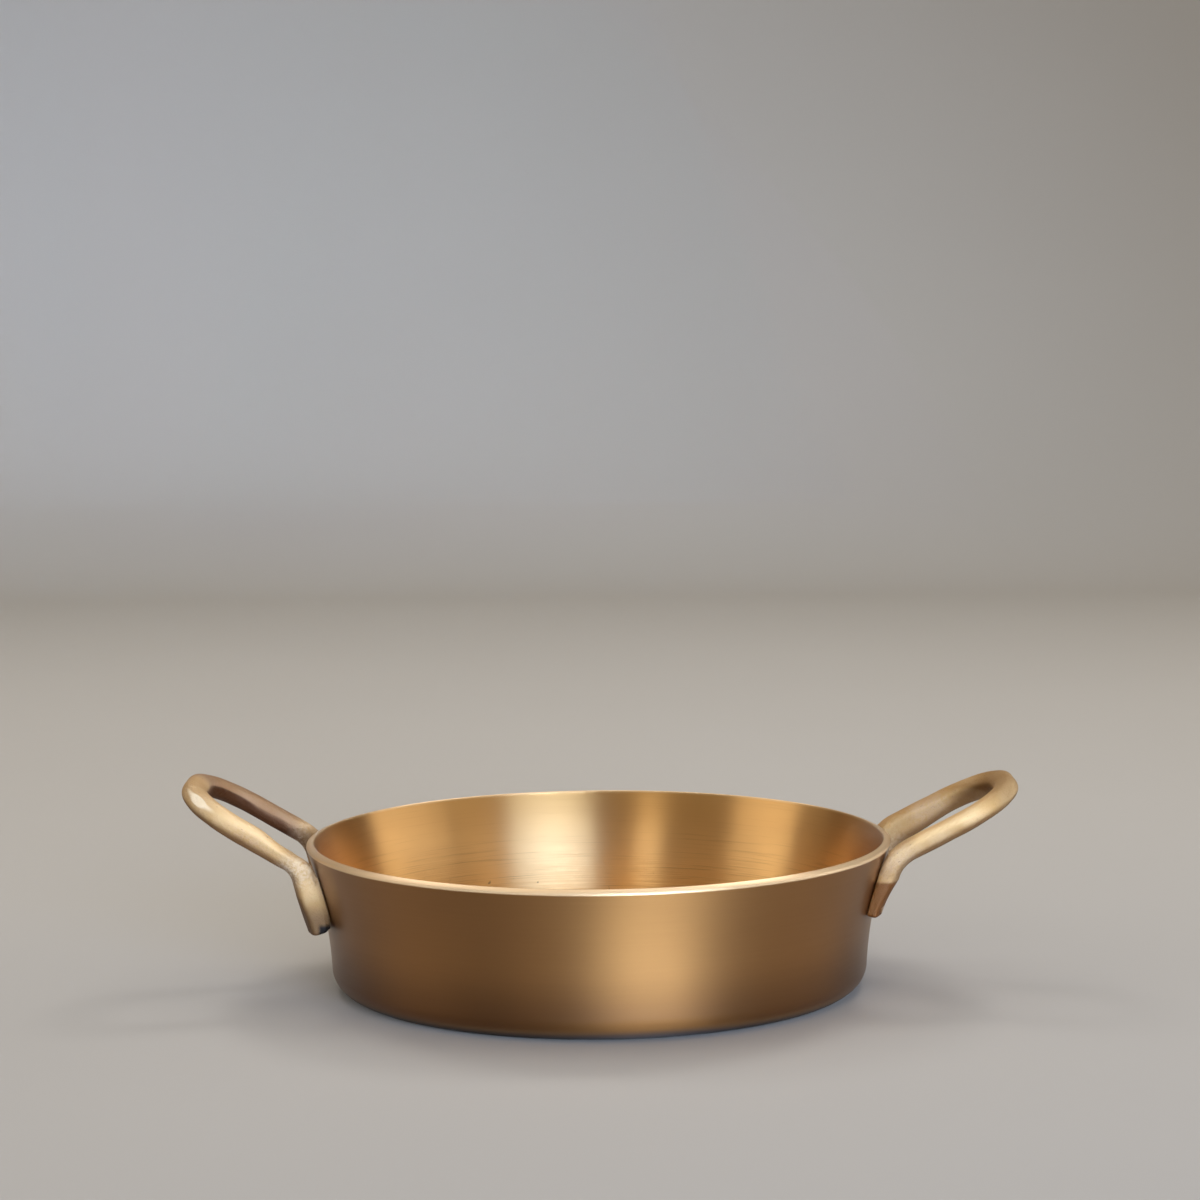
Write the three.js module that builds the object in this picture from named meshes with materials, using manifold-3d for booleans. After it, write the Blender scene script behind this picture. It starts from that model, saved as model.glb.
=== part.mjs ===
// Bronze pan with two cast loop handles, riveted on.
// Millimetres, +Z up. The origin is the middle of the base, +X points to the right handle.

import * as THREE from 'three';
import { mergeVertices } from 'three/addons/utils/BufferGeometryUtils.js';
import Module from 'manifold-3d';

const wasm = await Module();
wasm.setup();

// Pan body
const rimDiameter = 200; // outside, to the lip's edge before it is rounded
const waistDiameter = 182; // outside, where the line of the wall meets the table
const panHeight = 51;
const wallThickness = 3; // measured level
const floorThickness = 3.2;
const outerHeelRadius = 8; // bend from base to wall, outside
const innerHeelRadius = 6; // bend from floor to wall, inside
const lipOuterRounding = 2;
const lipInnerRounding = 1;

// Loop handles, each one bar bent from foot to foot
const footSpacing = 50.5; // between the middles of the two legs
const barWidth = 8.4;
const barThickness = 7.1;
const barSquareness = 3; // exponent of the bar's section: 2 is an ellipse, more is squarer
const loopCornerRadius = 21; // to the middle of the bar
const kneeRadius = 10; // to the middle of the bar
const footWidth = 11.5;
const footEndRounding = 1.2;
const seatClearance = 0.3; // between a foot and the pan

// Each handle is cast and set by hand, so the two differ a little
const leftRise = 30.3; // slope of the legs, in degrees
const rightRise = 27;
const leftLoopLength = 43.4; // from the knee's corner to the middle of the end bar
const rightLoopLength = 44.6;
const leftKneeDrop = 4.5; // from the lip down to the corner of the leg's and the foot's lines
const rightKneeDrop = 4.1;
const leftFootDrop = 27.5; // from the lip down to the foot's end
const rightFootDrop = 24;
const leftFootThickness = 7.2; // at the foot's end
const rightFootThickness = 4.4;
const leftFootLetIn = 0.2; // by which the foot is filed to sit over the lip
const rightFootLetIn = 1.1;

// Rivets, one through each foot, with a low head inside the pan and a flush tail outside
const rivetFromEnd = 5; // up from the end of the foot
const shankDiameter = 4;
const headDiameter = 7;
const headHeight = 1.6;
const headEdge = 0.5; // straight edge under the dome of the head
const tailDiameter = 5.6;
const tailDepth = 1.4; // countersunk in the foot
const tailRecess = 0.2; // below the face of the foot
const rivetClearance = 0.3; // all round, and under the head

// Smoothness
const turnSteps = 72; // round the pan
const rivetSteps = 20;
const ringPoints = 20; // round the bar's section
const arcSteps = 8; // along a bend or a bowed wall
const cutMargin = 5; // by which a cutting shape stands past what it cuts

const bronze = { color: 0xb98a55, roughness: 0.34, metalness: 1 };
const castBronze = { color: 0xb79a74, roughness: 0.5, metalness: 1 };
const rivetBronze = { color: 0xae8350, roughness: 0.38, metalness: 1 };

// The wall's line is a parabola, upright at the table and leaning out to the lip
const rimRadius = rimDiameter / 2;
const waistRadius = waistDiameter / 2;
const flare = rimRadius - waistRadius;

function wallRadius(z) {
  return waistRadius + flare * (z / panHeight) ** 2;
}

function wallLean(z) {
  return Math.atan((2 * flare * z) / panHeight ** 2);
}

// Carries a path along the wall's line, moved in by inset
function followWall(path, fromZ, toZ, inset) {
  const middleRadius = wallRadius(fromZ) + (Math.tan(wallLean(fromZ)) * (toZ - fromZ)) / 2;
  return path.quadraticCurveTo(middleRadius - inset, (fromZ + toZ) / 2, wallRadius(toZ) - inset, toZ);
}

// The bend of a heel that stands on a floor and runs into the wall: its centre and where it ends
function heelBend(floorZ, radius, inset) {
  const centreZ = floorZ + radius;
  const lean = wallLean(centreZ);
  const endZ = centreZ - radius * Math.sin(lean);
  return { centreX: wallRadius(endZ) - inset - radius * Math.cos(lean), centreZ, lean, endZ };
}

// Closed shapes and booleans

function toSolid(geometry) {
  const bare = geometry.clone();
  bare.deleteAttribute('normal');
  bare.deleteAttribute('uv');
  const merged = mergeVertices(bare);
  const corners = merged.index.array;
  const triangles = [];
  for (let i = 0; i < corners.length; i += 3) {
    const [a, b, c] = corners.slice(i, i + 3);
    if (a !== b && b !== c && c !== a) triangles.push(a, b, c);
  }
  const mesh = new wasm.Mesh({
    numProp: 3,
    vertProperties: new Float32Array(merged.attributes.position.array),
    triVerts: new Uint32Array(triangles),
  });
  return new wasm.Manifold(mesh);
}

function toGeometry(solid) {
  const mesh = solid.getMesh();
  const geometry = new THREE.BufferGeometry();
  geometry.setAttribute('position', new THREE.BufferAttribute(mesh.vertProperties, 3));
  geometry.setIndex(new THREE.BufferAttribute(mesh.triVerts, 1));
  geometry.computeVertexNormals();
  return geometry;
}

function cut(geometry, tools) {
  let solid = toSolid(geometry);
  for (const tool of tools) solid = solid.subtract(toSolid(tool));
  return toGeometry(solid);
}

// A profile of (radius, height) points turned about the Z axis
function revolve(points, steps) {
  return new THREE.LatheGeometry(points, steps).rotateX(Math.PI / 2);
}

// A skin over rings of equally many points, closed by a fan at each end
function loft(rings) {
  const count = rings[0].length;
  const middles = [rings[0], rings.at(-1)].map((ring) =>
    ring.reduce((sum, point) => sum.add(point), new THREE.Vector3()).divideScalar(count));
  const points = [...rings.flat(), ...middles];
  const lastRing = (rings.length - 1) * count;
  const firstMiddle = rings.length * count;
  const index = [];
  for (let i = 0; i < count; i++) {
    const next = (i + 1) % count;
    for (let ring = 0; ring < lastRing; ring += count) {
      index.push(ring + i, ring + count + i, ring + next);
      index.push(ring + next, ring + count + i, ring + count + next);
    }
    index.push(firstMiddle, i, next);
    index.push(firstMiddle + 1, lastRing + next, lastRing + i);
  }
  const geometry = new THREE.BufferGeometry().setFromPoints(points);
  geometry.setIndex(index);
  return geometry;
}

// Pan body

function panProfile() {
  const heel = heelBend(0, outerHeelRadius, 0);
  const insideHeel = heelBend(floorThickness, innerHeelRadius, wallThickness);
  const lipStart = panHeight - lipOuterRounding;
  const insideLipStart = panHeight - lipInnerRounding;
  const insideLip = rimRadius - wallThickness;
  const profile = new THREE.Path()
    .moveTo(0, 0)
    .lineTo(heel.centreX, 0)
    .absarc(heel.centreX, heel.centreZ, outerHeelRadius, -Math.PI / 2, -heel.lean, false);
  followWall(profile, heel.endZ, lipStart, 0)
    .quadraticCurveTo(rimRadius, panHeight, rimRadius - lipOuterRounding, panHeight)
    .lineTo(insideLip + lipInnerRounding, panHeight)
    .quadraticCurveTo(insideLip, panHeight, wallRadius(insideLipStart) - wallThickness, insideLipStart);
  followWall(profile, insideLipStart, insideHeel.endZ, wallThickness)
    .absarc(insideHeel.centreX, insideHeel.centreZ, innerHeelRadius, -insideHeel.lean, -Math.PI / 2, true)
    .lineTo(0, floorThickness);
  return profile.getPoints(arcSteps / 2);
}

// What a foot has to stay clear of: the pan's outside, filled and carried on above the lip
function panEnvelope() {
  const outline = new THREE.Path()
    .moveTo(0, -cutMargin)
    .lineTo(waistRadius + seatClearance, -cutMargin)
    .lineTo(waistRadius + seatClearance, 0);
  followWall(outline, 0, panHeight, -seatClearance)
    .lineTo(rimRadius + seatClearance, panHeight + cutMargin)
    .lineTo(0, panHeight + cutMargin);
  return revolve(outline.getPoints(arcSteps), turnSteps);
}

// Loop handle, in the right-hand place; the left one is turned half round

const legY = -footSpacing / 2; // the leg that is modelled; the other is its mirror image

function legWallX(z) {
  return Math.sqrt(wallRadius(z) ** 2 - legY ** 2);
}

// The bar's way round the pan at the leg, which turns the foot to face the wall
const wallTurn = Math.atan2(legY, legWallX(panHeight));

// Square to a direction in the XZ plane, on its upper side
function upperSide(direction) {
  return new THREE.Vector3(-direction.z, 0, direction.x);
}

// Directions and places that a handle's bar is led by. Its foot bears on the lip and on the wall
// at the foot's end, and its leg rises from a knee just below the lip.
function handleLines({ rise, kneeDrop, footDrop, footLetIn }) {
  const lip = legWallX(panHeight);
  const footLean = Math.atan2(lip - legWallX(panHeight - footDrop), footDrop);
  const footUp = new THREE.Vector3(Math.sin(footLean), 0, Math.cos(footLean));
  const facing = upperSide(footUp).applyAxisAngle(footUp, wallTurn);
  const innerFace = lip + seatClearance - footLetIn - kneeDrop * Math.tan(footLean);
  const kneeX = innerFace + barThickness / 2 / Math.cos(footLean);
  const kneeTurn = Math.PI / 2 - footLean - rise;
  const kneeStart = kneeRadius * Math.tan(kneeTurn / 2);
  return {
    footLean,
    footUp,
    facing,
    kneeTurn,
    kneeStart,
    kneeCorner: new THREE.Vector3(kneeX, legY, panHeight - kneeDrop),
    footLength: (footDrop - kneeDrop) / Math.cos(footLean) - kneeStart,
    legOut: new THREE.Vector3(Math.cos(rise), 0, Math.sin(rise)),
  };
}

// One ring of the bar: a superellipse, square to the bar's line, with its thickness along up
function barRing(centre, along, up, width = barWidth, thickness = barThickness) {
  const across = new THREE.Vector3().crossVectors(along, up).normalize();
  const power = 2 / barSquareness;
  return Array.from({ length: ringPoints }, (_, i) => {
    const angle = (i / ringPoints) * 2 * Math.PI;
    const x = Math.sign(Math.cos(angle)) * Math.abs(Math.cos(angle)) ** power * width / 2;
    const y = Math.sign(Math.sin(angle)) * Math.abs(Math.sin(angle)) ** power * thickness / 2;
    return centre.clone().addScaledVector(across, x).addScaledVector(up, y);
  });
}

// The foot grows wider and thinner from the knee to its end, and keeps its inner face straight
function footRings({ footUp, facing, kneeStart, kneeCorner, footLength }, footThickness) {
  const heights = [0, footEndRounding, footLength / 2, footLength];
  return heights.map((height) => {
    const share = 1 - height / footLength;
    const width = THREE.MathUtils.lerp(barWidth, footWidth, share);
    const thickness = THREE.MathUtils.lerp(barThickness, footThickness, share);
    const centre = kneeCorner.clone()
      .addScaledVector(footUp, height - footLength - kneeStart)
      .addScaledVector(facing, (barThickness - thickness) / 2);
    const inset = 2 * Math.max(footEndRounding - height, 0);
    return barRing(centre, footUp, facing, width - inset, thickness - inset);
  });
}

// The knee bends from the foot's line to the leg's, and loses the foot's turn to the wall
function kneeRings({ footLean, footUp, kneeTurn, kneeStart, kneeCorner }) {
  const bendCentre = kneeCorner.clone()
    .addScaledVector(footUp, -kneeStart)
    .addScaledVector(upperSide(footUp), -kneeRadius);
  return Array.from({ length: arcSteps }, (_, i) => {
    const share = (i + 1) / arcSteps;
    const slope = Math.PI / 2 - footLean - kneeTurn * share;
    const along = new THREE.Vector3(Math.cos(slope), 0, Math.sin(slope));
    const centre = bendCentre.clone().addScaledVector(upperSide(along), kneeRadius);
    const up = upperSide(along).applyAxisAngle(along, wallTurn * (1 - share));
    return barRing(centre, along, up);
  });
}

// The loop's corner turns from the leg to the end bar, in the slope of the leg
function cornerRings({ kneeCorner, legOut }, loopLength) {
  const bendCentre = kneeCorner.clone().addScaledVector(legOut, loopLength - loopCornerRadius);
  bendCentre.y += loopCornerRadius;
  return Array.from({ length: arcSteps + 1 }, (_, i) => {
    const angle = (Math.PI / 2) * (i / arcSteps);
    const along = legOut.clone().multiplyScalar(Math.cos(angle)).setY(Math.sin(angle));
    const centre = bendCentre.clone().addScaledVector(legOut, loopCornerRadius * Math.sin(angle));
    centre.y -= loopCornerRadius * Math.cos(angle);
    return barRing(centre, along, upperSide(legOut));
  });
}

function loopHandle(lines, { footThickness, loopLength }) {
  const half = [
    ...footRings(lines, footThickness),
    ...kneeRings(lines),
    ...cornerRings(lines, loopLength),
  ];
  const mirrored = half.map((ring) => ring.map((point) => point.clone().setY(-point.y)));
  return loft([...half, ...mirrored.reverse()]);
}

// Rivet, along its own Z axis: zero is the wall's outside, plus is out of the pan

// Square to the wall, through the modelled leg's foot
function rivetPlace({ footDrop, footThickness }, { footLean, footLength, kneeCorner, facing }) {
  const z = panHeight - footDrop + rivetFromEnd;
  const lean = wallLean(z);
  const round = Math.asin(legY / wallRadius(z));
  const position = new THREE.Vector3(legWallX(z), legY, z);
  const axis = new THREE.Vector3(
    Math.cos(round) * Math.cos(lean),
    Math.sin(round) * Math.cos(lean),
    -Math.sin(lean),
  );
  const share = 1 - rivetFromEnd / Math.cos(footLean) / footLength;
  const thickness = THREE.MathUtils.lerp(barThickness, footThickness, share);
  const outerFace = kneeCorner.clone().addScaledVector(facing, barThickness / 2 - thickness);
  const faceDistance = outerFace.sub(position).dot(facing) / axis.dot(facing);
  return { position, axis, reach: faceDistance - tailRecess };
}

function rivetProfile(reach) {
  const headFace = -wallThickness - rivetClearance;
  const shank = shankDiameter / 2;
  const head = headDiameter / 2;
  return new THREE.Path()
    .moveTo(0, headFace - headHeight)
    .quadraticCurveTo(head, headFace - headHeight, head, headFace - headEdge)
    .lineTo(head, headFace)
    .lineTo(shank, headFace)
    .lineTo(shank, reach - tailDepth)
    .lineTo(tailDiameter / 2, reach)
    .lineTo(0, reach)
    .getPoints(arcSteps);
}

function rivetHoleProfile(reach) {
  const shank = shankDiameter / 2 + rivetClearance;
  const tail = tailDiameter / 2 + rivetClearance;
  return new THREE.Path()
    .moveTo(0, -wallThickness - cutMargin)
    .lineTo(shank, -wallThickness - cutMargin)
    .lineTo(shank, reach - tailDepth)
    .lineTo(tail, reach)
    .lineTo(tail, reach + cutMargin)
    .lineTo(0, reach + cutMargin)
    .getPoints(1);
}

// Assembly

function namedMesh(name, geometry, finish) {
  const mesh = new THREE.Mesh(geometry, new THREE.MeshStandardMaterial(finish));
  mesh.name = name;
  return mesh;
}

const handles = [
  {
    side: 'left',
    turn: Math.PI,
    rise: THREE.MathUtils.degToRad(leftRise),
    loopLength: leftLoopLength,
    kneeDrop: leftKneeDrop,
    footDrop: leftFootDrop,
    footThickness: leftFootThickness,
    footLetIn: leftFootLetIn,
  },
  {
    side: 'right',
    turn: 0,
    rise: THREE.MathUtils.degToRad(rightRise),
    loopLength: rightLoopLength,
    kneeDrop: rightKneeDrop,
    footDrop: rightFootDrop,
    footThickness: rightFootThickness,
    footLetIn: rightFootLetIn,
  },
];

const pan = new THREE.Group();
const wallHoles = [];

for (const handle of handles) {
  const sideGroup = new THREE.Group();
  sideGroup.rotation.z = handle.turn;
  const lines = handleLines(handle);
  const { position, axis, reach } = rivetPlace(handle, lines);
  const footCuts = [panEnvelope()];
  for (const mirror of [1, -1]) {
    const isFront = mirror * Math.cos(handle.turn) > 0;
    const rivet = namedMesh(`rivet_${handle.side}_${isFront ? 'front' : 'rear'}`,
      revolve(rivetProfile(reach), rivetSteps), rivetBronze);
    rivet.position.copy(position).setY(position.y * mirror);
    rivet.quaternion.setFromUnitVectors(new THREE.Vector3(0, 0, 1), axis.clone().setY(axis.y * mirror));
    sideGroup.add(rivet);
    sideGroup.updateMatrixWorld();
    const hole = revolve(rivetHoleProfile(reach), rivetSteps);
    footCuts.push(hole.clone().applyMatrix4(rivet.matrix));
    wallHoles.push(hole.applyMatrix4(rivet.matrixWorld));
  }
  const loop = cut(loopHandle(lines, handle), footCuts);
  sideGroup.add(namedMesh(`handle_${handle.side}`, loop, castBronze));
  pan.add(sideGroup);
}

pan.add(namedMesh('pan_body', cut(revolve(panProfile(), turnSteps), wallHoles), bronze));

export default pan;
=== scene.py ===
import bpy
import numpy as np
from mathutils import Matrix


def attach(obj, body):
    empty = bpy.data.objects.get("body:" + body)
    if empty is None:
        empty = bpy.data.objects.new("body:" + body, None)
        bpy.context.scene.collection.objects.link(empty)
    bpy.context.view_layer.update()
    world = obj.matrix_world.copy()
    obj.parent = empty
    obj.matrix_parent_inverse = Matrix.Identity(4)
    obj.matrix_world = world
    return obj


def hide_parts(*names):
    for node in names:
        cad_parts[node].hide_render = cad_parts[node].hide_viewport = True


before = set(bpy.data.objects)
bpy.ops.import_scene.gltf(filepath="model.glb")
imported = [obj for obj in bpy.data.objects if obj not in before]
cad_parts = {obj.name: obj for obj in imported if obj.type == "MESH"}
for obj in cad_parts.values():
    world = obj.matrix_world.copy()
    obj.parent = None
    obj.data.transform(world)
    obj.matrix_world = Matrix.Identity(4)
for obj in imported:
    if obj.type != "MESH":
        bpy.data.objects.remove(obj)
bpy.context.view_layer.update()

print("frame loaded:", ", ".join(sorted(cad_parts)))

# all lengths are in metres, angles in degrees unless a name says otherwise


# Meshes

def gridMesh(name, points, flip=False):
    # points[i, j] is row i along the shape and column j round it; each row is a closed ring,
    # and the mean of the first and of the last row is a pole that a fan of triangles closes
    rows, columns = points.shape[:2]
    ring = np.arange(rows * columns).reshape(rows, columns)
    following = np.roll(ring, -1, axis=1)
    quads = np.stack([ring[:-1], following[:-1], following[1:], ring[1:]], axis=-1).reshape(-1, 4)
    first = np.full(columns, rows * columns)
    last = first + 1
    fans = np.concatenate([np.stack([first, following[0], ring[0]], axis=-1),
                           np.stack([last, ring[-1], following[-1]], axis=-1)])
    if flip:
        quads, fans = quads[:, ::-1], fans[:, ::-1]
    places = np.concatenate([points.reshape(-1, 3), points[[0, -1]].mean(axis=1)])
    corners = np.concatenate([quads.ravel(), fans.ravel()]).astype(np.int32)
    starts = np.concatenate([np.arange(len(quads)) * 4, len(quads) * 4 + np.arange(len(fans)) * 3])
    mesh = bpy.data.meshes.new(name)
    mesh.vertices.add(len(places))
    mesh.vertices.foreach_set("co", places.astype(np.float32).ravel())
    mesh.loops.add(len(corners))
    mesh.loops.foreach_set("vertex_index", corners)
    mesh.polygons.add(len(starts))
    mesh.polygons.foreach_set("loop_start", starts.astype(np.int32))
    mesh.polygons.foreach_set("use_smooth", np.ones(len(starts), dtype=bool))
    mesh.update(calc_edges=True)
    mesh.validate()
    return mesh


def noteFacing(mesh, name, direction):
    # writes how far each point faces a direction, from 0 for away to 1 for towards, so that the colour
    # can differ there; on the handles this places painted shade, a painted highlight and the filed flat
    normals = np.empty(len(mesh.vertices) * 3, dtype=np.float32)
    mesh.vertex_normals.foreach_get("vector", normals)
    facing = np.sum(normals.reshape(-1, 3) * direction, axis=-1)
    note = mesh.attributes.new(name, "FLOAT", "POINT")
    note.data.foreach_set("value", (facing * 0.5 + 0.5).astype(np.float32))


def addPiece(name, mesh, material):
    piece = bpy.data.objects.new(name, mesh)
    bpy.context.scene.collection.objects.link(piece)
    mesh.materials.append(material)
    return piece


def arcLine(centreX, centreZ, radius, start, end, steps):
    # points of a circle about (centreX, centreZ), between two angles in radians
    turn = np.linspace(start, end, steps)
    return np.stack([centreX + radius * np.cos(turn), centreZ + radius * np.sin(turn)], axis=-1)


def bendLine(start, corner, end, steps):
    # a corner rounded as a quadratic curve: start (1 - t)^2 + corner 2 t (1 - t) + end t^2
    t = np.linspace(0, 1, steps)[:, None]
    return start * (1 - t) ** 2 + corner * 2 * t * (1 - t) + end * t ** 2


def ramp(value, start, end):
    # 0 up to start, 1 from end on, and straight between; start may be the larger
    return np.clip((value - start) / (end - start), 0, 1)


def turnedAbout(vectors, axes, angle):
    # Rodrigues: v cos a + (k x v) sin a + k (k . v)(1 - cos a), row by row
    angle = np.broadcast_to(np.asarray(angle, dtype=float), vectors.shape[:1])[:, None]
    along = np.sum(vectors * axes, axis=-1, keepdims=True)
    turned = vectors * np.cos(angle) + np.cross(axes, vectors) * np.sin(angle)
    return turned + axes * along * (1 - np.cos(angle))


def ripple(points, size, seed):
    # a smooth unevenness from 0 to 1: the mean of six plane waves of about one wavelength
    rng = np.random.default_rng(seed)
    heading = rng.normal(size=(6, 3))
    heading /= np.linalg.norm(heading, axis=1, keepdims=True)
    length = size * rng.uniform(0.7, 1.4, 6)
    phase = rng.uniform(0, 2 * np.pi, 6)
    waves = np.sin(points @ (heading / length[:, None]).T * 2 * np.pi + phase)
    return 0.5 + waves.mean(axis=-1) * 0.9


# Shader sums

class Flow:
    # a socket in one material's nodes; sums on it add Math nodes, and node() adds any other
    def __init__(self, tree, socket=None):
        self.tree = tree
        self.socket = socket

    def node(self, kind, settings=None, inputs=None, output=0):
        made = self.tree.nodes.new(kind)
        for name, setting in (settings or {}).items():
            setattr(made, name, setting)
        for name, value in (inputs or {}).items():
            if isinstance(value, Flow):
                self.tree.links.new(value.socket, made.inputs[name])
            else:
                made.inputs[name].default_value = value
        return Flow(self.tree, made.outputs[output] if made.outputs else None)

    def math(self, operation, first, second=0.0):
        return self.node("ShaderNodeMath", {"operation": operation}, {0: first, 1: second})

    def __add__(self, other):
        return self.math("ADD", self, other)

    def __sub__(self, other):
        return self.math("SUBTRACT", self, other)

    def __rsub__(self, other):
        return self.math("SUBTRACT", other, self)

    def __mul__(self, other):
        return self.math("MULTIPLY", self, other)

    def __truediv__(self, other):
        return self.math("DIVIDE", self, other)

    def __pow__(self, other):
        return self.math("POWER", self, other)

    def __abs__(self):
        return self.math("ABSOLUTE", self)

    def rise(self, low, high):
        # a smooth step from 0 at low to 1 at high, or down where low is the larger
        return self.node("ShaderNodeMapRange", {"interpolation_type": "SMOOTHSTEP"},
                         {"Value": self, "From Min": low, "From Max": high})

    def tint(self, dark, light):
        # a colour between two, by this value
        return self.node("ShaderNodeMix", {"data_type": "RGBA"}, {0: self, 6: dark, 7: light}, 2)


def startMaterial(name):
    material = bpy.data.materials.new(name)
    material.use_nodes = True
    material.node_tree.nodes.clear()
    flow = Flow(material.node_tree)
    place = flow.node("ShaderNodeTexCoord", output="Object")
    return material, flow, place


def endMaterial(flow, settings):
    shader = flow.node("ShaderNodeBsdfPrincipled", None, settings)
    flow.node("ShaderNodeOutputMaterial", None, {"Surface": shader})


def axesOf(flow, place):
    split = flow.node("ShaderNodeSeparateXYZ", None, {0: place}).socket.node
    return [Flow(flow.tree, split.outputs[axis]) for axis in "XYZ"]


def joined(flow, x, y, z):
    return flow.node("ShaderNodeCombineXYZ", None, {"X": x, "Y": y, "Z": z})


def grain(flow, vector, scale, detail=2.0, rough=0.5):
    return flow.node("ShaderNodeTexNoise", {"noise_dimensions": "3D"},
                     {"Vector": vector, "Scale": scale, "Detail": detail, "Roughness": rough})


def bumped(flow, height):
    # a normal from a height in metres
    return flow.node("ShaderNodeBump", None, {"Strength": 1.0, "Distance": 1.0, "Height": height})


def colour(red, green, blue):
    # a colour as it is picked on screen, 0 to 255, in the linear form that a socket takes
    shares = np.array([red, green, blue]) / 255
    linear = np.where(shares > 0.04045, ((shares + 0.055) / 1.055) ** 2.4, shares / 12.92)
    return [float(share) for share in linear] + [1.0]


# Pan body

panBody = {
    "rimRadius": 0.100, "waistRadius": 0.091, "height": 0.051,
    "wallThickness": 0.003, "floorThickness": 0.0032,
    "outerHeel": 0.008, "innerHeel": 0.006, "lipDrop": 0.0011, "lipOuter": 0.0009, "lipInner": 0.0005,
    "roundSteps": 384, "pole": 0.002, "grainTurn": 0.25,
    "ringDepth": 1.6e-5, "cutDepth": 9.0e-5, "streakDepth": 4.5e-5, "plainStreakDepth": 2.0e-6,
    "fineDepth": 1.2e-6, "pitDepth": 3e-5, "waveDepth": 1.1e-4,
    "outsideBronze": colour(150, 107, 60), "heelShadeAndTone": colour(102, 66, 32), "foot": colour(30, 20, 12),
    "lipToneAndHighlight": colour(226, 192, 146), "insideBronze": colour(206, 160, 96),
    "paintedLightBronze": colour(246, 204, 140), "floorBronze": colour(184, 136, 74),
    "pit": colour(70, 44, 20), "groove": colour(120, 78, 34),
    "insideRoughness": 0.335, "outsideRoughness": 0.565, "lipRoughness": 0.44,
    "insideAnisotropy": 0.89, "outsideAnisotropy": 0.80, "coat": 0.45, "coatRoughness": 0.3,
}


panFlare = panBody["rimRadius"] - panBody["waistRadius"]


def wallRadius(z):
    # the outer wall opens as a parabola: waist + flare (z / height)^2
    return panBody["waistRadius"] + panFlare * (z / panBody["height"]) ** 2


def wallLean(z):
    # the wall's angle from upright, from the slope of that parabola
    return np.arctan(2 * panFlare * z / panBody["height"] ** 2)


def heelBend(floorZ, radius, inset):
    # the arc that runs level at floorZ and meets the wall at its own slope
    centreZ = floorZ + radius
    lean = wallLean(centreZ)
    endZ = centreZ - radius * np.sin(lean)
    return wallRadius(endZ) - inset - radius * np.cos(lean), centreZ, lean, endZ


def panProfile():
    # half the section, from the middle of the base outwards, up the wall, over the lip and down inside;
    # the lip is a straight bevel that faces out and up, rounded at both of its edges
    s = panBody
    top, thickness = s["height"], s["wallThickness"]
    outX, outZ, outLean, outEnd = heelBend(0, s["outerHeel"], 0)
    inX, inZ, inLean, inEnd = heelBend(s["floorThickness"], s["innerHeel"], thickness)
    outerEdge = np.array([wallRadius(top - s["lipDrop"]), top - s["lipDrop"]])
    innerEdge = np.array([wallRadius(top) - thickness, top])
    slope = (innerEdge - outerEdge) / np.linalg.norm(innerEdge - outerEdge)
    bevelStart, bevelEnd = outerEdge + slope * s["lipOuter"], innerEdge - slope * s["lipInner"]
    base = np.linspace(s["pole"], outX, 22)
    outerWall = np.linspace(outEnd, outerEdge[1] - s["lipOuter"], 44)
    innerWall = np.linspace(top - s["lipInner"], inEnd, 44)
    floorLine = np.linspace(inX, s["pole"], 26)
    outerSide = np.stack([wallRadius(outerWall), outerWall], axis=-1)
    innerSide = np.stack([wallRadius(innerWall) - thickness, innerWall], axis=-1)
    return np.concatenate([
        np.stack([base, base * 0], axis=-1),
        arcLine(outX, outZ, s["outerHeel"], -np.pi / 2, -outLean, 14)[1:],
        outerSide[1:],
        bendLine(outerSide[-1], outerEdge, bevelStart, 9)[1:],
        np.linspace(bevelStart, bevelEnd, 10)[1:],
        bendLine(bevelEnd, innerEdge, innerSide[0], 9)[1:],
        innerSide[1:],
        arcLine(inX, inZ, s["innerHeel"], -inLean, -np.pi / 2, 12)[1:],
        np.stack([floorLine, floorLine * 0 + s["floorThickness"]], axis=-1)[1:],
    ])


def panSurface():
    # the profile (r, z) turned round Z: (r cos a, r sin a, z)
    profile = panProfile()
    turn = np.linspace(0, 2 * np.pi, panBody["roundSteps"], endpoint=False)
    r, z = profile[:, :1], profile[:, 1:]
    return np.stack([r * np.cos(turn), r * np.sin(turn), z + turn * 0], axis=-1)


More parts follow.
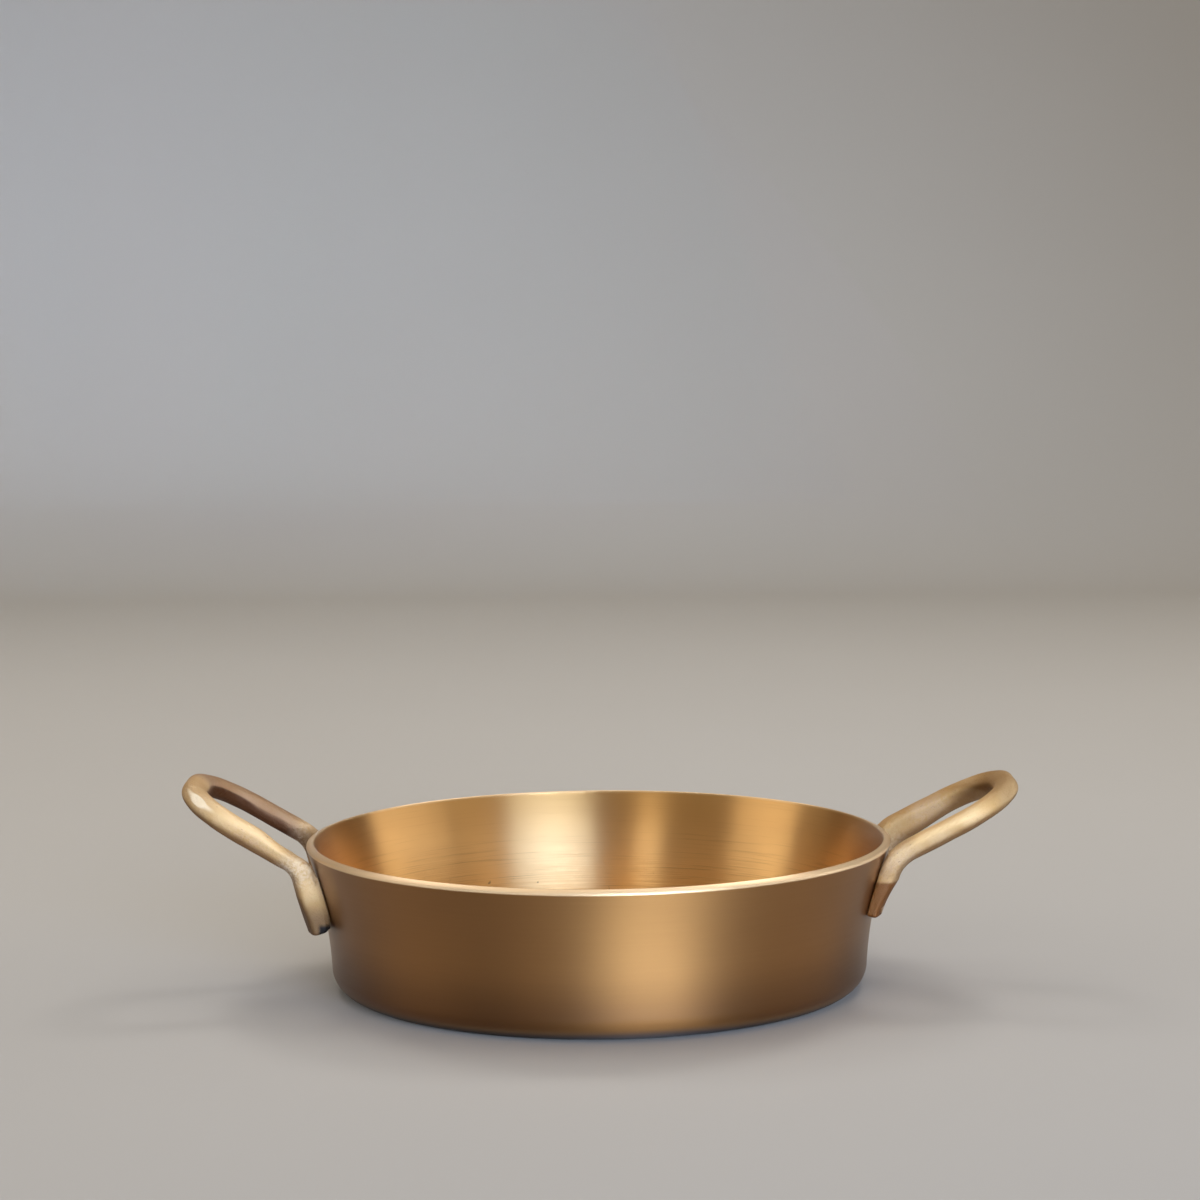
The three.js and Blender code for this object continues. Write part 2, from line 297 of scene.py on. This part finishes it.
def turnedBronze():
    s = panBody
    material, flow, place = startMaterial("turned_bronze")
    x, y, z = axesOf(flow, place)
    radius = (x * x + y * y) ** 0.5
    track = z + radius     # grows steadily along the profile, so rings of equal track are lathe lines
    share = z / s["height"]
    middle = share * share * panFlare + z.rise(0.003, 0.008) * 0.0025 + (s["waistRadius"] - 0.004)
    inside = (middle - radius).rise(-0.0004, 0.0004) * z.rise(0.0022, 0.003)
    # painted light: this mask rises towards the bottom of the inner wall; it tints the wall paler there,
    # standing in for its stronger highlights, and also makes the lathe lines stronger there
    low = z.rise(0.046, 0.014) * (z.rise(0.0036, 0.010) * 0.8 + 0.2)
    edge = s["rimRadius"] - s["wallThickness"]
    lip = z.rise(s["height"] - 0.0021, s["height"] - 0.0016) * radius.rise(edge - 0.0004, edge)
    rings = grain(flow, joined(flow, 0.0, 0.0, track * 1150), 1.0, 2.0, 0.6)
    streaks = grain(flow, joined(flow, x * 34, y * 34, track * 1350), 1.0, 2.0, 0.6)
    fine = grain(flow, joined(flow, x * 120, y * 120, track * 5200), 1.0, 1.0)
    broad = grain(flow, place, 22.0, 2.0)
    wallFoot = z.rise(0.024, 0.016) * z.rise(0.0042, 0.008)
    pits = grain(flow, place, 420.0, 1.0).rise(0.72, 0.78) * wallFoot * inside
    lathe = inside * (low * 0.85 + 0.15)
    # painted shade: the outside wall is tinted darker towards its base, standing in for shade and a dark
    # reflection near the floor
    heelShade = z.rise(0.026, 0.005) * (1 - inside)
    insideWithPaintedLight = low.tint(s["insideBronze"], s["paintedLightBronze"])
    level = z.rise(0.0042, 0.0034)     # the flat floor inside
    insideWithPaintedLight = level.tint(insideWithPaintedLight, s["floorBronze"])
    base = inside.tint(s["outsideBronze"], insideWithPaintedLight)
    base = (heelShade * 0.8).tint(base, s["heelShadeAndTone"])
    # painted shadow: a dark, less metallic ring round the outer edge of the base, standing in for the
    # contact shadow under the heel
    foot = z.rise(0.0046, 0.0012) * (1 - inside) * radius.rise(0.078, 0.083)
    base = (foot * 0.95).tint(base, s["foot"])
    base = (streaks.rise(0.55, 0.72) * lathe * 0.36).tint(base, s["groove"])
    base = (broad.rise(0.35, 0.75) * 0.12).tint(base, s["heelShadeAndTone"])
    # the lip is tinted pale: its own turned finish and also a painted highlight
    base = (lip * 0.8).tint(base, s["lipToneAndHighlight"])
    base = (pits * 0.8).tint(base, s["pit"])
    uneven = (broad - 0.5) * 0.05 + (streaks - 0.5) * 0.10 + pits * 0.2 + level * inside * 0.08
    outer = lip * (s["lipRoughness"] - s["outsideRoughness"]) + s["outsideRoughness"]
    cut = z.rise(0.034, 0.021) * inside     # the lathe lines stand out on the lower part of the wall
    height = (rings - 0.5) * (lathe * s["ringDepth"] + cut * s["cutDepth"])
    height = height + (streaks - 0.5) * (lathe * s["streakDepth"] + s["plainStreakDepth"])
    waves = grain(flow, place, 48.0, 1.0)     # slow unevenness of the turned wall, about a tenth of a mm
    height = height + (fine - 0.5) * s["fineDepth"] - pits * s["pitDepth"]
    height = height + (waves - 0.5) * inside * s["waveDepth"]
    normal = bumped(flow, height)
    metal = 1 - foot * 0.8 - lip * 0.45
    finishes = [flow.node("ShaderNodeBsdfPrincipled", None, {
        "Base Color": base, "Roughness": rough, "Metallic": metal, "Normal": normal,
        "Anisotropic": anisotropy, "Anisotropic Rotation": s["grainTurn"],
        "Coat Weight": metal * s["coat"], "Coat Roughness": s["coatRoughness"],
    }) for rough, anisotropy in ((outer + uneven, s["outsideAnisotropy"]),
                                 (uneven + s["insideRoughness"], s["insideAnisotropy"]))]
    mixed = flow.node("ShaderNodeMixShader", None, {0: inside, 1: finishes[0], 2: finishes[1]})
    flow.node("ShaderNodeOutputMaterial", None, {"Surface": mixed})
    return material


bronze = turnedBronze()
body = addPiece("pan_body_turned", gridMesh("pan_body_turned", panSurface()), bronze)
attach(body, "root")
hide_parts("pan_body")
print("pan body turned:", len(body.data.polygons), "faces")


# Loop handles

handles = {
    "footSpacing": 0.0505, "barWidth": 0.0084, "barThickness": 0.0071, "squareness": 3,
    "cornerRadius": 0.021, "footWidth": 0.0115, "footEnd": 0.0012, "seat": 0.0003,
    "sides": {
        "handle_left": {
            "rise": 30.3, "length": 0.0434, "kneeDrop": 0.0045, "kneeRadius": 0.012, "footDrop": 0.0275,
            "footThickness": 0.0072, "letIn": 0.0002, "turn": np.pi, "seed": 3,
            "closeFit": 0.0014, "endBevel": 0.0016, "dressedFlat": 0.00034,
            "rearSwell": 0.0, "cornerSwell": 0.0008, "neck": 0.0017,
        },
        "handle_right": {
            "rise": 27.0, "length": 0.0446, "kneeDrop": 0.0041, "kneeRadius": 0.015, "footDrop": 0.024,
            "footThickness": 0.0044, "letIn": 0.0011, "turn": 0.0, "seed": 8,
            "closeFit": 0.0, "endBevel": 0.0, "dressedFlat": 0.0,
            "rearSwell": 0.0020, "cornerSwell": 0.0013, "neck": 0.0,
        },
    },
    "ringPoints": 64, "tipRounding": 0.7, "footSquaring": 1.5, "fitStart": 0.0065, "fitFull": 0.0095,
    "unevenness": 0.00016, "dentReach": 0.004, "dentLength": 0.011, "leastSize": 0.003,
    "speckleDepth": 4.0e-4, "patchDepth": 2.0e-4, "fineDepth": 1.4e-4, "pitDepth": 1e-4,
    "markDepth": 1.2e-5,
    "flatFacing": np.array([-0.48, -0.66, 0.58]) / np.linalg.norm([-0.48, -0.66, 0.58]),
    "cast": colour(186, 152, 106), "warmCast": colour(176, 137, 84), "pinkCast": colour(188, 154, 120),
    "paintedUnderShade": colour(96, 64, 34), "inner": colour(66, 34, 10), "wearAndHighlight": colour(218, 198, 170),
    "flat": colour(242, 220, 184), "rightFootDark": colour(84, 42, 4), "shaded": colour(84, 60, 38),
    "pit": colour(98, 70, 44), "recessShadow": colour(16, 11, 8),
    "sheen": colour(234, 198, 146), "rearLegShade": colour(126, 92, 70), "rightHandleShade": colour(132, 100, 62),
    "roughness": 0.58, "metallic": 0.22, "shine": 0.14,
}


def upperSide(direction):
    # a direction in the upright plane through both handles, turned a quarter up
    return np.stack([-direction[..., 2], direction[..., 1] * 0, direction[..., 0]], axis=-1)


def handleRings(side):
    # centre, across and up of each ring, with its width and thickness, from the front foot's end
    # up the foot, round the knee, along the leg, round the corner and along the end bar to its middle
    h = handles
    height = panBody["height"]
    legY = -h["footSpacing"] / 2
    lip = np.sqrt(wallRadius(height) ** 2 - legY ** 2)
    footEndX = np.sqrt(wallRadius(height - side["footDrop"]) ** 2 - legY ** 2)
    lean = np.arctan2(lip - footEndX, side["footDrop"])
    wallTurn = np.arctan2(legY, lip)
    rise = np.radians(side["rise"])
    footUp = np.array([[np.sin(lean), 0, np.cos(lean)]])
    facing = turnedAbout(upperSide(footUp), footUp, wallTurn)
    innerFace = lip + h["seat"] - side["letIn"] - side["kneeDrop"] * np.tan(lean)
    kneeX = innerFace + h["barThickness"] / 2 / np.cos(lean)
    kneeTurn = np.pi / 2 - lean - rise
    kneeStart = side["kneeRadius"] * np.tan(kneeTurn / 2)
    corner = np.array([[kneeX, legY, height - side["kneeDrop"]]])
    footLength = (side["footDrop"] - side["kneeDrop"]) / np.cos(lean) - kneeStart
    legOut = np.array([[np.cos(rise), 0, np.sin(rise)]])
    bar = np.array([h["barWidth"], h["barThickness"]])

    # foot: from its end, widened and thinned, to the bar's own section at the knee
    up = np.concatenate([h["footEnd"] * (1 - np.cos(np.linspace(0, np.pi / 2, 9))),
                         np.linspace(h["footEnd"], footLength, 40)[1:]])[:, None]
    share = np.sin(np.pi / 2 * (1 - up / footLength))
    inset = h["footEnd"] * (1 - np.sqrt(1 - np.clip(1 - up / h["footEnd"], 0, 1) ** 2))
    footSize = bar + share * (np.array([h["footWidth"], side["footThickness"]]) - bar)
    footCentre = corner + footUp * (up - footLength - kneeStart)
    footCentre = footCentre + facing * (bar[1] - footSize[:, 1:]) / 2
    footSize = footSize - 2 * inset
    footAlong = np.repeat(footUp, len(up), axis=0)
    footFacing = np.repeat(facing, len(up), axis=0)

    # knee: an arc whose section turns from facing the wall to level
    share = np.linspace(0, 1, 34)[1:]
    slope = np.pi / 2 - lean - kneeTurn * share
    kneeAlong = np.stack([np.cos(slope), slope * 0, np.sin(slope)], axis=-1)
    kneeCentre = corner - footUp * kneeStart - upperSide(footUp) * side["kneeRadius"]
    kneeCentre = kneeCentre + upperSide(kneeAlong) * side["kneeRadius"]
    kneeFacing = turnedAbout(upperSide(kneeAlong), kneeAlong, wallTurn * (1 - share))

    # leg and corner: straight up the slope, then a quarter circle towards the middle
    legEnd = side["length"] - h["cornerRadius"]
    reach = np.linspace(kneeStart, legEnd, 44)[1:, None]
    legCentre = corner + legOut * reach
    angle = np.linspace(0, np.pi / 2, 46)[1:, None]
    level = np.array([[0.0, 1.0, 0.0]])
    cornerAlong = legOut * np.cos(angle) + level * np.sin(angle)
    cornerCentre = corner + legOut * (legEnd + h["cornerRadius"] * np.sin(angle))
    cornerCentre = cornerCentre + level * h["cornerRadius"] * (1 - np.cos(angle))
    inwards = np.linspace(0, -(legY + h["cornerRadius"]), 9)[1:, None]
    endCentre = cornerCentre[-1:] + level * inwards

    centre = np.concatenate([footCentre, kneeCentre, legCentre, cornerCentre, endCentre])
    along = np.concatenate([footAlong, kneeAlong, np.repeat(legOut, len(reach), axis=0), cornerAlong,
                            np.repeat(level, len(inwards), axis=0)])
    plain = len(centre) - len(footCentre) - len(kneeCentre)
    facings = np.concatenate([footFacing, kneeFacing, np.repeat(upperSide(legOut), plain, axis=0)])
    size = np.concatenate([footSize, np.repeat(bar[None], len(centre) - len(footSize), axis=0)])
    return centre, np.cross(along, facings), facings, size


def handleSurface(side):
    # a rounded bar section carried along the rings, each ring centre + across u + up v with
    # |u / w|^n + |v / t|^n = 1, then mirrored in Y; what would enter the wall is moved out to it
    h = handles
    centre, across, facings, size = handleRings(side)
    turn = np.linspace(0, 2 * np.pi, h["ringPoints"], endpoint=False)[None, :, None]
    # along the path the knee starts at about 0.27, the leg at 0.46 and the corner at 0.70
    path = np.linspace(0, 1, len(centre))[:, None, None]
    squareness = h["squareness"] - h["tipRounding"] * ramp(path, 0.60, 0.80)
    squareness = squareness + h["footSquaring"] * ramp(path, 0.22, 0.12)
    power = 2 / squareness
    u = np.sign(np.cos(turn)) * np.abs(np.cos(turn)) ** power
    v = np.sign(np.sin(turn)) * np.abs(np.sin(turn)) ** power
    edges = centre[:, None] + across[:, None] * u * h["dentReach"]
    dent = ripple(edges, h["dentLength"], side["seed"])[..., None]
    shrink = 1 - dent * h["unevenness"] / size[:, None, 1:].clip(h["leastSize"])
    half = centre[:, None] + (across[:, None] * u * size[:, None, :1] / 2
                              + facings[:, None] * v * size[:, None, 1:] / 2) * shrink
    half = half - facings[:, None] * np.maximum(v, 0) * side["endBevel"] * ramp(path, 0.10, 0)
    # the other leg's underside is a little heavier, on the right handle more so towards the wall
    swell = side["rearSwell"] * ramp(path, 0.72, 0.42) + side["cornerSwell"] * ramp(path, 1, 0.85)
    swell = swell * ramp(path, 0.05, 0.20)
    rear = half + facings[:, None] * np.minimum(v, 0) * swell
    # the left handle, turned half round, has this leg in front, and there it is hollowed above the knee
    neck = ramp(path, 0.30, 0.44) * ramp(path, 0.66, 0.48)
    neck = side["neck"] * neck * neck * (3 - 2 * neck)
    rear = rear - facings[:, None] * np.maximum(v, 0) * neck
    points = np.concatenate([half, (rear * np.array([1, -1, 1]))[-2::-1]])
    # the foot's inner face: out of the wall everywhere, and down to it where it was dressed to fit
    z = points[..., 2]
    radius = np.hypot(points[..., 0], points[..., 1])
    limit = wallRadius(np.minimum(z, panBody["height"])) + h["seat"]
    below = ramp(z, panBody["height"] - h["fitStart"], panBody["height"] - h["fitFull"])
    near = np.clip(2 - 2 * (radius - limit) / max(side["closeFit"], 1e-6), 0, 1) * below
    fitted = np.maximum(radius - np.maximum(radius - limit, 0) * near, limit)
    points[..., :2] *= (fitted / radius)[..., None]
    cosine = np.cos(side["turn"])     # half a turn negates x and y
    points = points * np.array([cosine, cosine, 1])
    # a flat filed on the front corner: what stands beyond the plane p . n = d is set back to it
    facing = h["flatFacing"]
    beyond = points @ facing
    beyond = np.maximum(beyond - (beyond.max() - side["dressedFlat"]), 0)
    return points - beyond[..., None] * facing


def castBronze():
    h = handles
    material, flow, place = startMaterial("cast_bronze")
    x, y, z = axesOf(flow, place)
    folded = joined(flow, abs(x), abs(y), z)
    topside, flatside, nearside = [
        flow.node("ShaderNodeAttribute", {"attribute_name": name}, None, "Fac")
        for name in ("topside", "flatside", "nearside")]
    left, right, front = x.rise(0.01, -0.01), x.rise(0.0, 0.01), y.rise(0.01, -0.01)
    leftTip = x.rise(-0.126, -0.130)
    # the filed flat on the left handle's front corner is tinted pale: bare filed metal and also a
    # painted highlight
    flat = flatside.rise(0.962, 0.998) * leftTip * y.rise(0.0, -0.008)
    # painted shade: on the left handle, the far leg's side that faces the front, below its top, is
    # tinted dark brown
    inner = nearside.rise(0.50, 0.70) * y.rise(0.002, 0.008)
    inner = inner * topside.rise(0.58, 0.47) * x.rise(-0.103, -0.110)
    fine = grain(flow, place, 2300.0, 2.0, 0.6)
    speckle = grain(flow, place, 900.0, 3.0, 0.6)
    patches = grain(flow, place, 95.0, 2.0)
    broad = grain(flow, place, 38.0, 1.0)
    marks = grain(flow, joined(flow, x * 1500, y * 1500, z * 160), 1.0, 1.0)
    kneePoint = (0.0985, h["footSpacing"] / 2, 0.046)
    knee = flow.node("ShaderNodeVectorMath", {"operation": "DISTANCE"}, {0: folded, 1: kneePoint}, 1)
    # a pale mark round each knee, stronger on the left handle: partly rubbed wear and partly a painted
    # highlight
    wearAndHighlight = knee.rise(0.012, 0.003) * (speckle.rise(0.35, 0.65) * 0.6 + 0.25)
    # the right handle's foot is tinted dark orange-brown below a level line under its knee
    rightFootDark = z.rise(0.0398, 0.0386) * right
    pits = speckle.rise(0.64, 0.72) * broad.rise(0.45, 0.6)
    base = patches.rise(0.35, 0.65).tint(h["warmCast"], h["cast"])
    base = (broad.rise(0.45, 0.7) * speckle.rise(0.35, 0.6) * 0.6).tint(base, h["pinkCast"])
    # painted shade: the parts of the handles that face down are tinted dark brown
    base = (topside.rise(0.64, 0.30) * 0.92).tint(base, h["paintedUnderShade"])
    # painted shade: the left handle's far leg is tinted darker
    base = (x.rise(-0.100, -0.107) * y.rise(0.0, 0.010) * 0.7).tint(base, h["rearLegShade"])
    base = (inner * 0.94).tint(base, h["inner"])
    frontLeg = y.rise(0.0, -0.010) * abs(x).rise(0.102, 0.108) * abs(x).rise(0.134, 0.121)
    base = (frontLeg * topside.rise(0.40, 0.80) * 0.6).tint(base, h["sheen"])
    # painted shade: the right handle's tip is tinted darker
    base = (x.rise(0.128, 0.136) * 0.5).tint(base, h["rightHandleShade"])
    wearAndHighlight = wearAndHighlight * (left * 0.7 + 0.3)
    base = (wearAndHighlight * 0.5).tint(base, h["wearAndHighlight"])
    # painted shade: the right front foot just under the lip is tinted darker
    base = (z.rise(0.048, 0.042) * right * front * 0.4).tint(base, h["rightHandleShade"])
    base = (flat * 0.85).tint(base, h["flat"])
    base = (z.rise(0.039, 0.028) * left * 0.85).tint(base, h["shaded"])
    rim = (x * x + y * y) ** 0.5
    # painted shadow: a near-black spot at the end of the left front foot, where it meets the wall
    recessShadow = z.rise(0.0275, 0.0258) * rim.rise(0.0988, 0.0976) * left * front
    base = recessShadow.tint(base, h["recessShadow"])
    base = (rightFootDark * 0.85).tint(base, h["rightFootDark"])
    base = (pits * 0.6).tint(base, h["pit"])
    rough = (speckle - 0.5) * 0.22 + (patches - 0.5) * 0.12 + h["roughness"]
    rough = rough + pits * 0.15 - wearAndHighlight * 0.08 - flat * 0.12
    height = (speckle - 0.5) * h["speckleDepth"] + (patches - 0.5) * h["patchDepth"]
    height = height + (fine - 0.5) * h["fineDepth"] - pits * h["pitDepth"]
    height = height + (marks - 0.5) * h["markDepth"]
    endMaterial(flow, {"Base Color": base, "Roughness": rough, "Metallic": h["metallic"],
                       "Normal": bumped(flow, height), "Specular IOR Level": h["shine"]})
    return material


casting = castBronze()
for node, side in handles["sides"].items():
    mesh = gridMesh(node + "_cast", handleSurface(side), flip=True)
    noteFacing(mesh, "topside", [0, 0, 1])
    noteFacing(mesh, "flatside", handles["flatFacing"])
    noteFacing(mesh, "nearside", [0, -1, 0])
    loop = addPiece(node + "_cast", mesh, casting)
    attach(loop, "root")
    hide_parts(node)
    print(node, "cast:", len(loop.data.polygons), "faces")


# Rivets

rivets = {
    "fromEnd": 0.005, "shank": 0.002, "head": 0.0035, "headHeight": 0.0016, "headEdge": 0.0005,
    "tail": 0.0028, "tailDepth": 0.0014, "tailRecess": 0.0002, "clearance": 0.0003,
    "bevel": 0.0001, "pole": 0.0003, "domeStart": 0.05, "roundSteps": 40,
    "hammerDepth": 6e-5, "speckleDepth": 1e-5,
    "bronze": colour(176, 136, 84), "dark": colour(140, 100, 56), "roughness": 0.36,
}


def rivetSurface(side, front):
    # a profile (distance along the axis, radius) turned about the wall's normal: domed head inside,
    # shank through wall and foot, and a tail that opens as a cone to just under the foot's face
    h, s = handles, rivets
    legY = -h["footSpacing"] / 2
    z = panBody["height"] - side["footDrop"] + s["fromEnd"]
    radius = wallRadius(z)
    lean, turn = wallLean(z), np.arcsin(legY / radius)
    place = np.array([radius * np.cos(turn), legY, z])
    axis = np.array([np.cos(turn) * np.cos(lean), np.sin(turn) * np.cos(lean), -np.sin(lean)])
    centre, _, facings, size = handleRings(side)
    ring = np.argmin(np.abs(centre[:, 2] - z))
    outer = centre[ring] - facings[ring] * size[ring, 1] / 2
    reach = np.dot(outer - place, facings[ring]) / np.dot(axis, facings[ring]) - s["tailRecess"]
    headBase = -panBody["wallThickness"] - s["clearance"]
    dome = np.linspace(s["domeStart"], np.pi / 2, 14)
    profile = np.concatenate([
        np.stack([headBase - s["headEdge"] - (s["headHeight"] - s["headEdge"]) * np.cos(dome),
                  s["head"] * np.sin(dome)], axis=-1),
        np.array([[headBase - s["bevel"], s["head"]], [headBase, s["head"] - s["bevel"]],
                  [headBase, s["shank"]], [reach - s["tailDepth"], s["shank"]],
                  [reach - s["bevel"], s["tail"]], [reach, s["tail"] - s["bevel"]],
                  [reach, s["pole"]]])])
    sideways = np.cross(axis, [0, 0, 1.0])
    sideways /= np.linalg.norm(sideways)
    upwards = np.cross(sideways, axis)
    around = np.linspace(0, 2 * np.pi, s["roundSteps"], endpoint=False)[None, :, None]
    spread = sideways * np.cos(around) + upwards * np.sin(around)
    points = place + axis * profile[:, None, :1] + spread * profile[:, None, 1:]
    points = points * np.array([1, 1 if front else -1, 1])
    cosine = np.cos(side["turn"])
    return points * np.array([cosine, cosine, 1])


def rivetBronze():
    s = rivets
    material, flow, place = startMaterial("rivet_bronze")
    hammer = flow.node("ShaderNodeTexVoronoi", {"feature": "SMOOTH_F1"},
                       {"Vector": place, "Scale": 900.0, "Smoothness": 0.6})
    speckle = grain(flow, place, 1400.0, 2.0)
    base = speckle.rise(0.35, 0.6).tint(s["dark"], s["bronze"])
    rough = (speckle - 0.5) * 0.2 + s["roughness"]
    height = hammer * s["hammerDepth"] + (speckle - 0.5) * s["speckleDepth"]
    endMaterial(flow, {"Base Color": base, "Roughness": rough, "Metallic": 1.0,
                       "Normal": bumped(flow, height)})
    return material


hammered = rivetBronze()
for node, side in handles["sides"].items():
    for end in ("front", "rear"):
        name = node.replace("handle", "rivet") + "_" + end
        # the left handle is the right one turned half round, so its front is the other end
        nearViewer = (end == "front") == (side["turn"] == 0)
        mesh = gridMesh(name + "_headed", rivetSurface(side, nearViewer), flip=nearViewer)
        rivet = addPiece(name + "_headed", mesh, hammered)
        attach(rivet, "root")
        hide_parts(name)
print("rivets headed")


# Floor, light and camera

studio = {
    "floor": colour(184, 180, 174), "floorShade": 0.985, "floorRoughness": 0.75, "floorShine": 0.2,
    "world": (0.345, 0.30, 0.235),
    "floorFront": -3.0, "floorBack": 1.3, "cove": 0.7, "backdropTop": 2.6, "halfWidth": 4.0,
    "cameraDistance": 1.150, "cameraElevation": 12.42, "cameraTip": 6.54, "cameraPan": -0.063,
    "cameraRoll": -0.517, "lens": 100.0, "sensor": 36.0, "lampAim": 0.03,
    # each lamp: azimuth from the camera's side to the right, elevation, distance, width, height,
    # radiance, colour, and the angle of its beam, which is 180 for an open softbox
    "lamps": {
        "key": (21.5, 15, 1.6, 1.10, 0.60, 5.5, (0.76, 1.04, 1.64), 60),
        "frontNear": (12, 0.55, 2.4, 1.30, 0.03, 480.0, (0.84, 1.08, 1.46), 30),
        "frontFar": (29, 0.55, 2.4, 1.30, 0.03, 470.0, (0.84, 1.08, 1.46), 30),
        "fill": (55, 15, 1.6, 0.75, 0.50, 0.65, (1.0, 0.93, 0.80), 180),
        "right": (93, 14, 1.5, 1.16, 0.50, 1.25, (1.0, 0.98, 0.95), 180),
        "strip": (-23, 14, 1.6, 0.32, 0.50, 2.1, (1.0, 0.97, 0.92), 180),
        "left": (-81, 20, 1.5, 0.86, 0.62, 1.25, (1.0, 0.96, 0.90), 180),
        "top": (178, 76, 1.5, 1.5, 1.2, 1.2, (1.0, 0.99, 0.97), 180),
        "backRight": (148, 52, 1.5, 0.36, 0.36, 6.5, (1.0, 0.98, 0.96), 180),
        "backLeft": (-146, 48, 1.5, 0.36, 0.36, 4.5, (1.0, 0.98, 0.96), 180),
    },
}


def backdropSurface():
    # a profile (y, z), level then a quarter circle then upright, carried along X
    s = studio
    bend = np.linspace(0, np.pi / 2, 24)
    profile = np.concatenate([[[s["floorFront"], 0]],
                              np.stack([s["floorBack"] + s["cove"] * np.sin(bend),
                                        s["cove"] * (1 - np.cos(bend))], axis=-1),
                              [[s["floorBack"] + s["cove"], s["backdropTop"]]]])
    x = np.linspace(-s["halfWidth"], s["halfWidth"], 9)
    y, z = profile[:, :1], profile[:, 1:]
    return np.stack([x + y * 0, y + x * 0, z + x * 0], axis=-1)


def addBackdrop():
    points = backdropSurface()
    rows, columns = points.shape[:2]
    index = np.arange(rows * columns).reshape(rows, columns)
    corners = [index[:-1, :-1], index[:-1, 1:], index[1:, 1:], index[1:, :-1]]
    quads = np.stack(corners, axis=-1).reshape(-1, 4)
    mesh = bpy.data.meshes.new("studio_floor")
    mesh.from_pydata(points.reshape(-1, 3).tolist(), [], quads.tolist())
    mesh.polygons.foreach_set("use_smooth", np.ones(len(quads), dtype=bool))
    material, flow, place = startMaterial("pale_floor")
    cloud = grain(flow, place, 3.0, 2.0)
    s = studio
    shade = [share * s["floorShade"] for share in s["floor"][:3]] + [1.0]
    endMaterial(flow, {"Base Color": cloud.rise(0.3, 0.7).tint(shade, s["floor"]),
                       "Roughness": s["floorRoughness"], "Specular IOR Level": s["floorShine"]})
    addPiece("studio_floor", mesh, material)


def addLamp(name, azimuth, elevation, distance, width, height, radiance, tone, beam):
    # a softbox that faces the pan; in Cycles an area lamp's radiance is power / (4 area), and a
    # beam of half angle h raises it by tan h / (tan h - h), which is 1 for an open softbox
    azimuth, elevation = np.radians(azimuth), np.radians(elevation)
    level = np.cos(elevation)
    away = np.array([np.sin(azimuth) * level, -np.cos(azimuth) * level, np.sin(elevation)])
    sideways = np.cross([0, 0, 1.0], away)
    sideways /= np.linalg.norm(sideways)
    light = bpy.data.lights.new(name, "AREA")
    light.shape = "RECTANGLE"
    light.size, light.size_y = width, height
    half = np.radians(beam) / 2
    light.energy = 4 * width * height * radiance * (1 - half / np.tan(half))
    light.spread = 2 * half
    light.color = tone
    lamp = bpy.data.objects.new(name, light)
    bpy.context.scene.collection.objects.link(lamp)
    turn = np.stack([sideways, np.cross(away, sideways), away], axis=-1)
    place = away * distance + [0, 0, studio["lampAim"]]
    lamp.matrix_world = Matrix.Translation(place) @ Matrix(turn.tolist()).to_4x4()
    lamp.visible_camera = False


def addCamera():
    # stands level with X and looks at the pan, then tips up, which sets the pan low in the frame, and
    # turns and rolls a little
    s = studio
    elevation, tip, pan, roll = np.radians([s["cameraElevation"], s["cameraTip"], s["cameraPan"],
                                            s["cameraRoll"]])
    right = np.array([1.0, 0, 0])
    up = np.array([0, np.sin(elevation), np.cos(elevation)])
    ahead = np.array([0, np.cos(elevation), -np.sin(elevation)])
    up, ahead = up * np.cos(tip) - ahead * np.sin(tip), up * np.sin(tip) + ahead * np.cos(tip)
    right, ahead = right * np.cos(pan) + ahead * np.sin(pan), ahead * np.cos(pan) - right * np.sin(pan)
    right, up = right * np.cos(roll) + up * np.sin(roll), up * np.cos(roll) - right * np.sin(roll)
    data = bpy.data.cameras.new("photo_camera")
    data.lens, data.sensor_width, data.sensor_fit = s["lens"], s["sensor"], "HORIZONTAL"
    camera = bpy.data.objects.new("photo_camera", data)
    bpy.context.scene.collection.objects.link(camera)
    place = np.array([0, -np.cos(elevation), np.sin(elevation)]) * s["cameraDistance"]
    turn = Matrix(np.stack([right, up, -ahead], axis=-1).tolist()).to_4x4()
    camera.matrix_world = Matrix.Translation(place) @ turn
    bpy.context.scene.camera = camera


def lightWorld():
    world = bpy.data.worlds.new("studio_world")
    world.use_nodes = True
    world.node_tree.nodes.clear()
    flow = Flow(world.node_tree)
    back = flow.node("ShaderNodeBackground", None, {"Color": (*studio["world"], 1.0), "Strength": 1.0})
    flow.node("ShaderNodeOutputWorld", None, {"Surface": back})
    bpy.context.scene.world = world


addBackdrop()
for name, settings in studio["lamps"].items():
    addLamp(name, *settings)
lightWorld()
addCamera()
bpy.context.scene.view_settings.view_transform = "Standard"
print("studio set")
